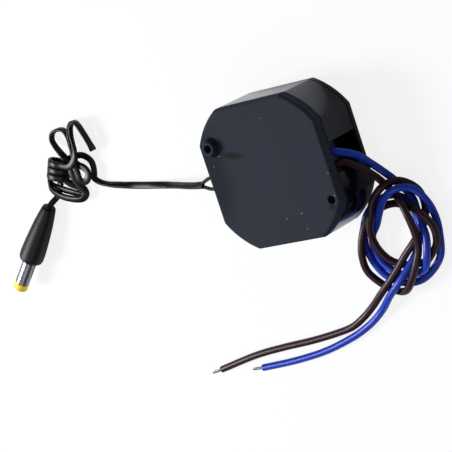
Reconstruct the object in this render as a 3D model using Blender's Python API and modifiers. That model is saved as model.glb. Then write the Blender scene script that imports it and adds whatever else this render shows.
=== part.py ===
# A flush-mount 12 V supply for a camera: a shallow black case, two mains wires and a twin output lead
# with its barrel plug. Units are metres. The case lies on its back cover at z = 0, centred on the origin,
# and +Z points out of its front face. +X is the mains side, -X the output side.

import math

import bmesh
import bpy
from mathutils import Matrix, Vector

# Clearance between pieces that touch, and the hidden length by which joined shapes overlap
FIT = 0.0003
JOIN = 0.0004
MM = 0.001

# Case: a square whose corners are cut by one circle, which stands a little past the flats
CASE_ACROSS = 0.0500
CORNER_REACH = 0.0036
CASE_DEPTH = 0.0224
WALL = 0.0016
ARC_STEPS = 9

# The front and back covers close the body ring, each with a lip that reaches inside it
FRONT_SKIRT = 0.0036
FRONT_PLATE = 0.0018
FRONT_RIM_RADIUS = 0.0012
BACK_SKIRT = 0.0024
BACK_PLATE = 0.0018
BACK_RIM_RADIUS = 0.0006
LIP_THICKNESS = 0.0010
LIP_REACH = 0.0012
SEAM_BEVEL = 0.00025

# Cable pockets in the middle of the left and right flats, the mains side a little wider
MAINS_POCKET_WIDTH = 0.0105
OUTPUT_POCKET_WIDTH = 0.0095
POCKET_DEPTH = 0.0050

# Fixing holes, right through the case in two opposite corners, each set in from the two flats nearest to
# it, with a raised collar round one of them
COLLAR_HOLE_SIDE = 0.0054
COLLAR_HOLE_TOP = 0.0122
PLAIN_HOLE_SIDE = 0.0033
PLAIN_HOLE_BOTTOM = 0.0121
FIXING_HOLE_RADIUS = 0.0014
PILLAR_RADIUS = 0.0027
PILLAR_WEB = 0.0020
COLLAR_HEIGHT = 0.0022
COLLAR_TOP_RADIUS = 0.0024
COLLAR_BASE_RADIUS = 0.0033
COLLAR_FILLET = 0.0007

# Circuit board, soldered side up, under the front cover
BOARD_THICKNESS = 0.0016
BOARD_STANDOFF = 0.0016
SUPPORT_RADIUS = 0.0012
SUPPORT_PLACE = 0.0150

# Mains wires: out of the right pocket
WIRE_DIAMETER = 0.0026
WIRE_DROP = 0.0016            # centre of a wire under the board
BLUE_EXIT_Y = 0.0020
BROWN_EXIT_Y = -0.0034
WIRE_SOLDER_X = 0.0135
TIP_DIAMETER = 0.0011
TIP_LENGTH = 0.0055

# Output lead: two cores leave the left pocket and run on as one flat twin lead
CORE_DIAMETER = 0.00135
CORE_EXIT_Y = -0.0006
CORE_SPREAD = 0.0040
CORE_SOLDER_X = -0.0140
LEAD_DIAMETER = 0.0020

# The lead's loops beside the plug, as one hank
HANK_X = -0.1035
HANK_Y = 0.0165
HANK_TURN = math.radians(63.0)
HANK_RADIUS = 0.0095
HANK_RUN = 0.0110
HANK_HOLE = 0.0036
HANK_HEIGHT = 0.0060
HANK_ROUND = 0.0018

# Barrel plug, lying on its side
PLUG_TAIL_X = -0.1195
PLUG_TAIL_Y = 0.0016
PLUG_TURN = math.radians(226.7)
PLUG_TILT = math.radians(4.0)
GRIP_LENGTH = 0.0250
BARREL_LENGTH = 0.0140
BARREL_RADIUS = 0.00275
BARREL_WALL = 0.00035
BARREL_SEAT = 0.0040
TIP_COLLAR = 0.0030
CONTACT_RADIUS = 0.00145
CONTACT_BORE = 0.00105
CONTACT_HOLE = 0.00125

# The grip from its domed tail to its rounded front: part of its length, then radius
GRIP_SHAPE = ((0.0, 0.0021), (0.012, 0.0025), (0.035, 0.0027), (0.08, 0.0029), (0.18, 0.0033),
              (0.33, 0.0038), (0.50, 0.0042), (0.70, 0.0046), (0.86, 0.0048), (0.95, 0.00475),
              (0.985, 0.0045), (1.0, 0.0041))

# Parts on the board: width along X, length along Y, height down from the board, and the centre. The
# tallest ones are chosen by what they leave free above the back cover.
TRANSFORMER_X = 0.0005
CORE_WIDTH = 0.0160
CORE_LENGTH = 0.0048
CORE_CLEARANCE = 0.0021
CORE_YOKE = 0.0021
CORE_OUTER_LEG = 0.0028
CORE_CENTRE_LEG = 0.0040
BOBBIN_WALL = 0.0007
BOBBIN_FLANGE = 0.0009
BOBBIN_HALF_LENGTH = 0.0064
BOBBIN_RAIL = 0.0018
WINDING_HALF_LENGTH = 0.0058

INPUT_CAPACITOR_RADIUS = 0.0050
INPUT_CAPACITOR_CLEARANCE = 0.0013
OUTPUT_CAPACITOR_RADIUS = 0.0040
OUTPUT_CAPACITOR_CLEARANCE = 0.0043
CHOKE_RADIUS = 0.0030
CHOKE_HEIGHT = 0.0080
CHIP_SIZE = (0.0094, 0.0064, 0.0033)
BRIDGE_SIZE = (0.0082, 0.0038, 0.0060)
OPTOCOUPLER_SIZE = (0.0046, 0.0064, 0.0034)
FILM_CAPACITOR_SIZE = (0.0120, 0.0050, 0.0105)
FUSE_RADIUS = 0.0017
FUSE_LENGTH = 0.0090
DIODE_RADIUS = 0.0026
DIODE_LENGTH = 0.0085
DISC_RADIUS = 0.0040
DISC_THICKNESS = 0.0032

X_CAPACITOR_PLACE = (0.0085, 0.0172)
BRIDGE_PLACE = (0.0124, -0.0076)
CHIP_PLACE = (0.0009, -0.0135)
OPTOCOUPLER_PLACE = (-0.0068, -0.0125)
INPUT_CAPACITOR_PLACE = (0.0111, -0.0150)
OUTPUT_CAPACITOR_A_PLACE = (-0.0139, -0.0163)
OUTPUT_CAPACITOR_B_PLACE = (-0.0132, -0.0078)
INPUT_CHOKE_PLACE = (0.0170, 0.0118)
OUTPUT_CHOKE_PLACE = (-0.0125, 0.0066)
FUSE_PLACE = (0.0088, 0.0105)
DIODE_PLACE = (-0.0108, 0.0155)
DISC_PLACE = (-0.0015, 0.0112)

# Heights that follow
TOP = CASE_DEPTH
FRONT_SEAM = TOP - FRONT_SKIRT
BACK_SEAM = BACK_SKIRT
PLATE_UNDERSIDE = TOP - FRONT_PLATE
BOARD_TOP = PLATE_UNDERSIDE - BOARD_STANDOFF
BOARD_UNDERSIDE = BOARD_TOP - BOARD_THICKNESS
WIRE_EXIT_Z = BOARD_UNDERSIDE - WIRE_DROP
PART_ROOM = BOARD_UNDERSIDE - FIT - BACK_PLATE
CORE_HEIGHT = PART_ROOM - CORE_CLEARANCE
INPUT_CAPACITOR_HEIGHT = PART_ROOM - INPUT_CAPACITOR_CLEARANCE
OUTPUT_CAPACITOR_HEIGHT = PART_ROOM - OUTPUT_CAPACITOR_CLEARANCE

# Plan sizes that follow
CORNER_RADIUS = CASE_ACROSS / 2 + CORNER_REACH
LIP_INSET = WALL + FIT
HOLLOW_INSET = LIP_INSET + LIP_THICKNESS
BOARD_INSET = HOLLOW_INSET + FIT
POCKET_FLOOR = CASE_ACROSS / 2 - POCKET_DEPTH

COLLAR_HOLE_X = COLLAR_HOLE_SIDE - CASE_ACROSS / 2
COLLAR_HOLE_Y = CASE_ACROSS / 2 - COLLAR_HOLE_TOP
PLAIN_HOLE_X = CASE_ACROSS / 2 - PLAIN_HOLE_SIDE
PLAIN_HOLE_Y = PLAIN_HOLE_BOTTOM - CASE_ACROSS / 2
FIXING_HOLES = ((COLLAR_HOLE_X, COLLAR_HOLE_Y), (PLAIN_HOLE_X, PLAIN_HOLE_Y))

# Mains wires past their exits, in millimetres: the loose double ring beside the case, then the tails
BROWN_ROUTE = (
    (25, -3, 13.5), (28, -7.5, 9), (30, -12.5, 5), (33.5, -18, 4.5), (38, -21, 8.5), (40, -25.5, 10),
    (40, -31.5, 9), (38.5, -37.5, 7.5), (35.5, -43, 7.5), (31.5, -48, 6.5), (26.5, -52, 4.5),
    (20.5, -52, 2), (15.5, -49, 1.5), (12.5, -43.5, 3), (13.5, -37, 4.5), (16, -31, 4.5),
    (19.5, -26, 4), (25, -23, 3), (31.5, -22, 3.5), (38, -23, 6), (43, -25.5, 7.5), (45.5, -31, 6),
    (44.5, -37, 5), (40, -41.5, 4), (35, -44, 1.5), (28, -44, 1.5), (22.5, -41.5, 2), (20, -36.5, 3.5),
    (20.5, -30.5, 5.5), (23.5, -25, 7.5), (27, -19, 8), (32, -15, 7.5), (37, -14.5, 4.5),
    (41.5, -19, 2), (42, -25.5, 1.5), (40, -31.5, 3.5), (35.5, -36, 5), (30.5, -40, 5),
    (25.5, -44.5, 5), (20.5, -48.5, 5), (15, -52.5, 4), (10, -56, 2.5), (4.5, -59.5, 1.5),
    (-1.5, -62.5, 1.5), (-8.5, -64, 1.5), (-20.5, -65.5, 1.5), (-34, -66.5, 1.5), (-47.5, -68, 1.5),
    (-65, -71.5, 1.5),
)
BLUE_ROUTE = (
    (25, 0.5, 13.5), (28, -2.5, 9.5), (29, -6.5, 5.5), (31.5, -11.5, 2.5), (35.5, -16.5, 2),
    (39, -22, 2.5), (41, -28, 5.5), (42.5, -34, 7), (41, -40, 7.5), (37.5, -45, 5.5), (32, -47, 3),
    (25.5, -47, 2), (20, -43.5, 1.5), (17.5, -38.5, 1.5), (18, -32.5, 2), (22.5, -28, 3.5),
    (26.5, -24, 6), (31, -19.5, 8), (36.5, -16.5, 8.5), (41.5, -17.5, 5.5), (44.5, -23, 3.5),
    (45, -29.5, 2), (44, -36, 1.5), (42, -42.5, 1.5), (37.5, -47, 1.5), (31.5, -50, 1.5),
    (25, -50, 1.5), (19, -47, 1.5), (15.5, -42, 1.5), (14, -35.5, 1.5), (15.5, -29, 1.5),
    (19, -24, 1.5), (24.5, -20.5, 1.5), (31, -19.5, 1.5), (36, -22.5, 1.5), (37.5, -28, 1.5),
    (36.5, -34.5, 1.5), (34, -40, 3), (29.5, -45, 5), (25, -49, 6), (19.5, -53, 5), (14.5, -57, 3),
    (9.5, -60.5, 2), (4, -63.5, 1.5), (-3.5, -66.5, 1.5), (-16.5, -70, 1.5), (-31, -72, 1.5),
    (-46, -73, 1.5),
)


def clear_scene():
    for obj in list(bpy.data.objects):
        bpy.data.objects.remove(obj, do_unlink=True)


def new_collection(name):
    collection = bpy.data.collections.new(name)
    bpy.context.scene.collection.children.link(collection)
    return collection


def make_material(name, colour, roughness, metallic=0.0):
    material = bpy.data.materials.new(name)
    material.use_nodes = True
    shader = material.node_tree.nodes["Principled BSDF"]
    shader.inputs["Base Color"].default_value = (*colour, 1.0)
    shader.inputs["Roughness"].default_value = roughness
    shader.inputs["Metallic"].default_value = metallic
    material.diffuse_color = (*colour, 1.0)
    return material


def move_to(obj, collection):
    for old in list(obj.users_collection):
        old.objects.unlink(obj)
    collection.objects.link(obj)


def finish(obj, name, material, smooth_angle=math.radians(35)):
    """A finished sub-part: its name, its material, its collection and its shading."""
    obj.name = name
    obj.data.materials.clear()
    obj.data.materials.append(material)
    move_to(obj, PARTS)
    if obj.type == "MESH":
        obj.data.shade_smooth()
        obj.data.set_sharp_from_angle(angle=smooth_angle)
    return obj


def combine(target, tool, operation="DIFFERENCE"):
    """Adds a Boolean with a hidden tool, which stays editable among the cutters."""
    modifier = target.modifiers.new(f"{operation.lower()} {tool.name}", "BOOLEAN")
    modifier.operation = operation
    modifier.object = tool
    tool.hide_render = True
    tool.display_type = "WIRE"
    move_to(tool, CUTTERS)
    return target


def mesh_object(name, bm):
    mesh = bpy.data.meshes.new(name)
    bm.to_mesh(mesh)
    bm.free()
    obj = bpy.data.objects.new(name, mesh)
    PARTS.objects.link(obj)
    return obj


def as_mesh(obj):
    """Turns a curve object into a welded mesh object in the same place."""
    depsgraph = bpy.context.evaluated_depsgraph_get()
    mesh = bpy.data.meshes.new_from_object(obj.evaluated_get(depsgraph))
    bm = bmesh.new()
    bm.from_mesh(mesh)
    bmesh.ops.remove_doubles(bm, verts=bm.verts, dist=1e-6)
    bmesh.ops.dissolve_limit(bm, angle_limit=math.radians(1), verts=bm.verts, edges=bm.edges)
    bmesh.ops.recalc_face_normals(bm, faces=bm.faces)
    bm.to_mesh(mesh)
    bm.free()
    name = obj.name
    matrix = obj.matrix_world.copy()
    bpy.data.objects.remove(obj, do_unlink=True)
    mesh_obj = bpy.data.objects.new(name, mesh)
    mesh_obj.matrix_world = matrix
    PARTS.objects.link(mesh_obj)
    return mesh_obj


def slab(name, loops, z_low, z_high):
    """A flat outline, holes included, with its thickness between two heights."""
    curve = bpy.data.curves.new(name, "CURVE")
    curve.dimensions = "2D"
    curve.fill_mode = "BOTH"
    curve.extrude = (z_high - z_low) / 2
    for loop in loops:
        spline = curve.splines.new("POLY")
        spline.points.add(len(loop) - 1)
        for point, (x, y) in zip(spline.points, loop):
            point.co = (x, y, 0.0, 1.0)
        spline.use_cyclic_u = True
    obj = bpy.data.objects.new(name, curve)
    obj.location.z = (z_low + z_high) / 2
    PARTS.objects.link(obj)
    bpy.context.view_layer.update()
    return as_mesh(obj)


def block(name, low, high):
    """A box between two opposite corners."""
    low, high = Vector(low), Vector(high)
    bm = bmesh.new()
    bmesh.ops.create_cube(bm, size=1.0)
    size = high - low
    bmesh.ops.scale(bm, vec=size, verts=bm.verts)
    obj = mesh_object(name, bm)
    obj.location = (low + high) / 2
    return obj


def post(name, radius, x, y, z_low, z_high, sides=28):
    """An upright cylinder."""
    bm = bmesh.new()
    bmesh.ops.create_cone(bm, cap_ends=True, segments=sides, radius1=radius, radius2=radius,
                          depth=z_high - z_low)
    obj = mesh_object(name, bm)
    obj.location = (x, y, (z_low + z_high) / 2)
    return obj


def cross_drill(name, radius, x_low, x_high, y, z, sides=20):
    """A cylinder along X."""
    obj = post(name, radius, 0.0, 0.0, 0.0, x_high - x_low, sides)
    obj.location = ((x_low + x_high) / 2, y, z)
    obj.rotation_euler.y = math.radians(90)
    return obj


def turned(name, profile, steps=32, closed=False):
    """A profile of (radius, height), run down its outer side, spun about Z."""
    bm = bmesh.new()
    verts = [bm.verts.new((radius, 0.0, z)) for radius, z in profile]
    for a, b in zip(verts, verts[1:]):
        bm.edges.new((a, b))
    if closed:
        bm.edges.new((verts[-1], verts[0]))
    obj = mesh_object(name, bm)
    screw = obj.modifiers.new("turn", "SCREW")
    screw.steps = steps
    screw.render_steps = steps
    screw.use_merge_vertices = True
    screw.merge_threshold = 1e-6
    screw.use_smooth_shade = True
    return obj


def round_rim(obj, z, radius, segments):
    """Rounds the rim of a mesh at one height, in the object's own frame."""
    bm = bmesh.new()
    bm.from_mesh(obj.data)
    rim = [edge for edge in bm.edges
           if all(abs(vert.co.z - z) < 1e-6 for vert in edge.verts)
           and len(edge.link_faces) == 2 and edge.calc_face_angle() > math.radians(60)]
    bmesh.ops.bevel(bm, geom=rim, offset=radius, segments=segments, profile=0.5, affect="EDGES")
    bm.to_mesh(obj.data)
    bm.free()
    return obj


def bevel(obj, width, segments=2):
    modifier = obj.modifiers.new("rounded edges", "BEVEL")
    modifier.width = width
    modifier.segments = segments
    modifier.limit_method = "ANGLE"
    modifier.angle_limit = math.radians(50)
    return obj


def plan(inset, pockets=True):
    """The case's outline seen from the front, moved in by an inset, with or without its cable pockets."""
    half = CASE_ACROSS / 2 - inset
    radius = CORNER_RADIUS - inset
    start = math.acos(half / radius)
    span = math.pi / 2 - 2 * start
    bite_x = POCKET_FLOOR - inset
    points = []
    for quarter in range(4):
        turn = quarter * math.pi / 2
        if pockets and quarter % 2 == 0:
            side, width = (1, MAINS_POCKET_WIDTH) if quarter == 0 else (-1, OUTPUT_POCKET_WIDTH)
            bite_y = width / 2 + inset
            bite = ((half, -bite_y), (bite_x, -bite_y), (bite_x, bite_y), (half, bite_y))
            points += [(side * x, side * y) for x, y in bite]
        for step in range(ARC_STEPS + 1):
            angle = turn + start + span * step / ARC_STEPS
            points.append((radius * math.cos(angle), radius * math.sin(angle)))
    return points


def smooth_route(route, spacing):
    """Points about evenly spaced on one smooth curve through the route's points."""
    points = [Vector(point) for point in route]
    first = points[0] * 2 - points[1]
    last = points[-1] * 2 - points[-2]
    guides = [first, *points, last]
    fine = []
    for a, b, c, d in zip(guides, guides[1:], guides[2:], guides[3:]):
        steps = max(2, math.ceil((c - b).length / (spacing / 6)))
        for step in range(steps):
            t = step / steps
            fine.append(0.5 * (2 * b + (c - a) * t + (2 * a - 5 * b + 4 * c - d) * t ** 2
                               + (3 * b - a - 3 * c + d) * t ** 3))
    fine.append(points[-1])
    travelled = [0.0]
    for a, b in zip(fine, fine[1:]):
        travelled.append(travelled[-1] + (b - a).length)
    count = max(1, round(travelled[-1] / spacing))
    even = []
    place = 0
    for step in range(count + 1):
        goal = travelled[-1] * step / count
        while place < len(fine) - 2 and travelled[place + 1] < goal:
            place += 1
        part = (goal - travelled[place]) / (travelled[place + 1] - travelled[place])
        even.append(fine[place].lerp(fine[place + 1], part))
    return even


def tube(name, points, diameter, resolution=2):
    """A round tube with closed ends along a list of points."""
    curve = bpy.data.curves.new(name, "CURVE")
    curve.dimensions = "3D"
    curve.bevel_depth = diameter / 2
    curve.bevel_resolution = resolution
    curve.use_fill_caps = True
    spline = curve.splines.new("POLY")
    spline.points.add(len(points) - 1)
    for point, place in zip(spline.points, points):
        point.co = (*place, 1.0)
    obj = bpy.data.objects.new(name, curve)
    PARTS.objects.link(obj)
    return obj


def front_cover():
    cover = slab("front_cover", [plan(0.0, pockets=False)], FRONT_SEAM, TOP)
    round_rim(cover, (TOP - FRONT_SEAM) / 2, FRONT_RIM_RADIUS, 4)
    lip = slab("front lip", [plan(LIP_INSET)], FRONT_SEAM - LIP_REACH, FRONT_SEAM + JOIN)
    notch_for_pillars(lip, "front", FRONT_SEAM - 2 * LIP_REACH, FRONT_SEAM + 2 * JOIN)
    combine(cover, lip, "UNION")
    hollow = slab("front hollow", [plan(HOLLOW_INSET)], FRONT_SEAM - 2 * LIP_REACH, PLATE_UNDERSIDE)
    combine(cover, hollow)
    add_cover_pads(cover, "front", FRONT_SEAM, PLATE_UNDERSIDE + JOIN)
    for index, (x, y) in enumerate(((1, 1), (-1, 1), (-1, -1), (1, -1))):
        support = post(f"board support {index}", SUPPORT_RADIUS, x * SUPPORT_PLACE, y * SUPPORT_PLACE,
                       BOARD_TOP + FIT, PLATE_UNDERSIDE + JOIN, 16)
        combine(cover, support, "UNION")
    combine(cover, collar(), "UNION")
    drill_fixing_holes(cover, "front", FRONT_SEAM - 2 * LIP_REACH, TOP + 2 * COLLAR_HEIGHT)
    return finish(cover, "front_cover", FACE_PLASTIC)


def collar():
    """The raised ring round the upper left fixing hole, with a fillet at its foot."""
    profile = [(0.0, COLLAR_HEIGHT), (COLLAR_TOP_RADIUS - 0.0003, COLLAR_HEIGHT),
               (COLLAR_TOP_RADIUS, COLLAR_HEIGHT - 0.0003)]
    for step in range(5):
        angle = math.radians(90) * step / 4
        profile.append((COLLAR_BASE_RADIUS + COLLAR_FILLET * (1 - math.cos(angle)),
                        COLLAR_FILLET * (1 - math.sin(angle))))
    profile.append((profile[-1][0], -JOIN))
    profile.append((0.0, -JOIN))
    ring = turned("collar", profile, 36)
    ring.location = (COLLAR_HOLE_X, COLLAR_HOLE_Y, TOP)
    return ring


def add_cover_pads(cover, side, z_low, z_high):
    """Solid pads in a cover, in line with the body's pillars."""
    for index, (x, y) in enumerate(FIXING_HOLES):
        pad = post(f"{side} pad {index}", PILLAR_RADIUS, x, y, z_low, z_high)
        combine(cover, pad, "UNION")


def notch_for_pillars(target, side, z_low, z_high):
    """Gaps in a cover's lip, or in the board, where the body's pillars and their webs stand."""
    for index, (x, y) in enumerate(FIXING_HOLES):
        notch = post(f"{side} notch {index}", PILLAR_RADIUS + FIT, x, y, z_low, z_high)
        combine(target, notch)
        outer = math.copysign(CASE_ACROSS / 2 - WALL, x)
        half_web = PILLAR_WEB / 2 + FIT
        web_gap = block(f"{side} web notch {index}", (min(x, outer), y - half_web, z_low),
                        (max(x, outer), y + half_web, z_high))
        combine(target, web_gap)


def drill_fixing_holes(target, side, z_low, z_high):
    for index, (x, y) in enumerate(FIXING_HOLES):
        drill = post(f"{side} fixing drill {index}", FIXING_HOLE_RADIUS, x, y, z_low, z_high)
        combine(target, drill)


def housing_body():
    low, high = BACK_SEAM + FIT, FRONT_SEAM - FIT
    body = slab("housing_body", [plan(0.0), plan(WALL)], low, high)
    for z in (-(high - low) / 2, (high - low) / 2):
        round_rim(body, z, SEAM_BEVEL, 1)
    for index, (x, y) in enumerate(FIXING_HOLES):
        pillar = post(f"pillar {index}", PILLAR_RADIUS, x, y, low, high)
        limit = slab(f"pillar limit {index}", [plan(WALL / 2)], low - JOIN, high + JOIN)
        combine(pillar, limit, "INTERSECT")
        combine(body, pillar, "UNION")
        outer = math.copysign(CASE_ACROSS / 2 - WALL / 2, x)
        web = block(f"web {index}", (min(x, outer), y - PILLAR_WEB / 2, low),
                    (max(x, outer), y + PILLAR_WEB / 2, high))
        combine(body, web, "UNION")
    drill_fixing_holes(body, "body", low - JOIN, high + JOIN)
    for index, y in enumerate((BLUE_EXIT_Y, BROWN_EXIT_Y)):
        drill = cross_drill(f"mains drill {index}", WIRE_DIAMETER / 2 + FIT, POCKET_FLOOR - 2 * WALL,
                            POCKET_FLOOR + WALL, y, WIRE_EXIT_Z)
        combine(body, drill)
    for index, side in enumerate((-1, 1)):
        drill = cross_drill(f"output drill {index}", CORE_DIAMETER / 2 + FIT, -POCKET_FLOOR - WALL,
                            -POCKET_FLOOR + 2 * WALL, CORE_EXIT_Y + side * CORE_SPREAD / 2, WIRE_EXIT_Z)
        combine(body, drill)
    return finish(body, "housing_body", GLOSS_PLASTIC)


def back_cover():
    cover = slab("back_cover", [plan(0.0, pockets=False)], 0.0, BACK_SEAM)
    round_rim(cover, -BACK_SEAM / 2, BACK_RIM_RADIUS, 3)
    lip = slab("back lip", [plan(LIP_INSET)], BACK_SEAM - JOIN, BACK_SEAM + LIP_REACH)
    notch_for_pillars(lip, "back", BACK_SEAM - 2 * JOIN, BACK_SEAM + 2 * LIP_REACH)
    combine(cover, lip, "UNION")
    hollow = slab("back hollow", [plan(HOLLOW_INSET)], BACK_PLATE, BACK_SEAM + 2 * LIP_REACH)
    combine(cover, hollow)
    add_cover_pads(cover, "back", BACK_PLATE - JOIN, BACK_SEAM)
    drill_fixing_holes(cover, "back", -JOIN, BACK_SEAM + 2 * LIP_REACH)
    return finish(cover, "back_cover", GLOSS_PLASTIC)


def circuit_board():
    board = slab("circuit_board", [plan(BOARD_INSET)], BOARD_UNDERSIDE, BOARD_TOP)
    notch_for_pillars(board, "board", BOARD_UNDERSIDE - JOIN, BOARD_TOP + JOIN)
    return finish(board, "circuit_board", BOARD_LAMINATE)


def hung_box(name, size, x, y, material, edge=0.0004):
    """A moulded part that hangs under the board."""
    width, length, height = size
    top = BOARD_UNDERSIDE - FIT
    box = block(name, (x - width / 2, y - length / 2, top - height), (x + width / 2, y + length / 2, top))
    bevel(box, edge)
    return finish(box, name, material)


def electrolytic(name, radius, height, x, y):
    """A can with its crimp groove and rounded end, leads up to the board."""
    top = BOARD_UNDERSIDE - FIT
    edge = 0.0006
    groove = 0.0004
    profile = [(0.0, 0.0), (radius - edge, 0.0), (radius, -edge), (radius, -0.0016),
               (radius - groove, -0.0021), (radius, -0.0026), (radius, edge - height),
               (radius - edge, -height), (radius * 0.75, -height), (radius * 0.7, 0.0002 - height),
               (0.0, 0.0002 - height)]
    can = turned(name, profile, 32)
    can.location = (x, y, top)
    return finish(can, name, SLEEVE_PLASTIC)


def drum_choke(name, x, y):
    """A ferrite drum with its winding between two flanges."""
    waist = CHOKE_RADIUS * 0.88
    flange = 0.0012
    profile = [(0.0, 0.0), (CHOKE_RADIUS, 0.0), (CHOKE_RADIUS, -flange), (waist, -flange - 0.0003),
               (waist, flange + 0.0003 - CHOKE_HEIGHT), (CHOKE_RADIUS, flange - CHOKE_HEIGHT),
               (CHOKE_RADIUS, -CHOKE_HEIGHT), (0.0, -CHOKE_HEIGHT)]
    drum = turned(name, profile, 28)
    drum.location = (x, y, BOARD_UNDERSIDE - FIT)
    return finish(drum, name, FERRITE)


def axial_part(name, radius, length, x, y, material):
    """A round part that lies along X under the board, thicker at its ends."""
    waist = radius * 0.9
    half = length / 2
    profile = [(0.0, half), (radius * 0.8, half), (radius, half - 0.0005), (radius, half - 0.0018),
               (waist, half - 0.0023), (waist, 0.0023 - half), (radius, 0.0018 - half),
               (radius, 0.0005 - half), (radius * 0.8, -half), (0.0, -half)]
    part = turned(name, profile, 24)
    part.rotation_euler.y = math.radians(90)
    part.location = (x, y, BOARD_UNDERSIDE - FIT - radius)
    return finish(part, name, material)


def disc_capacitor(name, x, y):
    half = DISC_THICKNESS / 2
    edge = half * 0.6
    profile = [(0.0, half), (DISC_RADIUS - edge, half), (DISC_RADIUS - 0.3 * edge, half - 0.3 * edge),
               (DISC_RADIUS, half - edge), (DISC_RADIUS, edge - half),
               (DISC_RADIUS - 0.3 * edge, 0.3 * edge - half), (DISC_RADIUS - edge, -half), (0.0, -half)]
    disc = turned(name, profile, 28)
    disc.rotation_euler.x = math.radians(90)
    disc.location = (x, y, BOARD_UNDERSIDE - FIT - DISC_RADIUS)
    return finish(disc, name, BLUE_LACQUER)


def transformer():
    """Core, bobbin and winding, with the winding's axis upright."""
    top = BOARD_UNDERSIDE - FIT
    x_left, x_right = TRANSFORMER_X - CORE_WIDTH / 2, TRANSFORMER_X + CORE_WIDTH / 2
    core = block("transformer_core", (x_left, -CORE_LENGTH / 2, top - CORE_HEIGHT),
                 (x_right, CORE_LENGTH / 2, top))
    window_low, window_high = top - CORE_HEIGHT + CORE_YOKE, top - CORE_YOKE
    window_outer = CORE_WIDTH / 2 - CORE_OUTER_LEG
    for side in (-1, 1):
        inner, outer = side * CORE_CENTRE_LEG / 2, side * window_outer
        window = block(f"core window {side}",
                       (TRANSFORMER_X + min(inner, outer), -CORE_LENGTH, window_low),
                       (TRANSFORMER_X + max(inner, outer), CORE_LENGTH, window_high))
        combine(core, window)
    bevel(core, 0.0002, 1)
    finish(core, "transformer_core", FERRITE)

    bore_x = CORE_CENTRE_LEG / 2 + FIT
    bore_y = CORE_LENGTH / 2 + FIT
    flange_x = window_outer - FIT
    bobbin_low, bobbin_high = window_low + FIT, window_high - FIT
    bobbin = block("transformer_bobbin", (TRANSFORMER_X - flange_x, -BOBBIN_HALF_LENGTH, bobbin_low),
                   (TRANSFORMER_X + flange_x, BOBBIN_HALF_LENGTH, bobbin_high))
    spool_low, spool_high = bobbin_low + BOBBIN_FLANGE, bobbin_high - BOBBIN_FLANGE
    tube_x, tube_y = bore_x + BOBBIN_WALL, bore_y + BOBBIN_WALL
    reach = 2 * BOBBIN_HALF_LENGTH
    waist = slab("bobbin waist", [box_loop(reach, reach), box_loop(tube_x, tube_y)], spool_low, spool_high)
    waist.location.x = TRANSFORMER_X
    combine(bobbin, waist)
    bore = slab("bobbin bore", [box_loop(bore_x, bore_y)], bobbin_low - JOIN, bobbin_high + JOIN)
    bore.location.x = TRANSFORMER_X
    combine(bobbin, bore)
    for side in (-1, 1):
        outer = side * BOBBIN_HALF_LENGTH
        inner = outer - side * BOBBIN_RAIL
        rail = block(f"bobbin rail {side}",
                     (TRANSFORMER_X - flange_x, min(inner, outer), bobbin_high - BOBBIN_FLANGE / 2),
                     (TRANSFORMER_X + flange_x, max(inner, outer), top))
        combine(bobbin, rail, "UNION")
    finish(bobbin, "transformer_bobbin", BOBBIN_PLASTIC)

    winding = slab("transformer_winding",
                   [rounded_loop(flange_x - FIT, WINDING_HALF_LENGTH, 0.0022, 4),
                    box_loop(tube_x + FIT, tube_y + FIT)], spool_low + FIT, spool_high - FIT)
    winding.location.x = TRANSFORMER_X
    finish(winding, "transformer_winding", WINDING_TAPE)


def box_loop(half_x, half_y):
    return [(half_x, half_y), (-half_x, half_y), (-half_x, -half_y), (half_x, -half_y)]


def rounded_loop(half_x, half_y, radius, steps):
    """A rectangle with round corners."""
    loop = []
    for quarter, (sx, sy) in enumerate(((1, 1), (-1, 1), (-1, -1), (1, -1))):
        for step in range(steps + 1):
            angle = (quarter + step / steps) * math.pi / 2
            loop.append((sx * (half_x - radius) + radius * math.cos(angle),
                         sy * (half_y - radius) + radius * math.sin(angle)))
    return loop


def board_parts():
    """The parts of the circuit, primary side at +X and secondary side at -X."""
    hung_box("x_capacitor", FILM_CAPACITOR_SIZE, *X_CAPACITOR_PLACE, FILM_PLASTIC, 0.0006)
    hung_box("bridge_rectifier", BRIDGE_SIZE, *BRIDGE_PLACE, BLACK_MOULDING)
    hung_box("switching_chip", CHIP_SIZE, *CHIP_PLACE, BLACK_MOULDING)
    hung_box("optocoupler", OPTOCOUPLER_SIZE, *OPTOCOUPLER_PLACE, BLACK_MOULDING)
    electrolytic("input_capacitor", INPUT_CAPACITOR_RADIUS, INPUT_CAPACITOR_HEIGHT, *INPUT_CAPACITOR_PLACE)
    for name, place in (("output_capacitor_a", OUTPUT_CAPACITOR_A_PLACE),
                        ("output_capacitor_b", OUTPUT_CAPACITOR_B_PLACE)):
        electrolytic(name, OUTPUT_CAPACITOR_RADIUS, OUTPUT_CAPACITOR_HEIGHT, *place)
    drum_choke("input_choke", *INPUT_CHOKE_PLACE)
    drum_choke("output_choke", *OUTPUT_CHOKE_PLACE)
    axial_part("fuse_resistor", FUSE_RADIUS, FUSE_LENGTH, *FUSE_PLACE, FUSE_LACQUER)
    axial_part("output_diode", DIODE_RADIUS, DIODE_LENGTH, *DIODE_PLACE, BLACK_MOULDING)
    disc_capacitor("y_capacitor", *DISC_PLACE)


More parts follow.
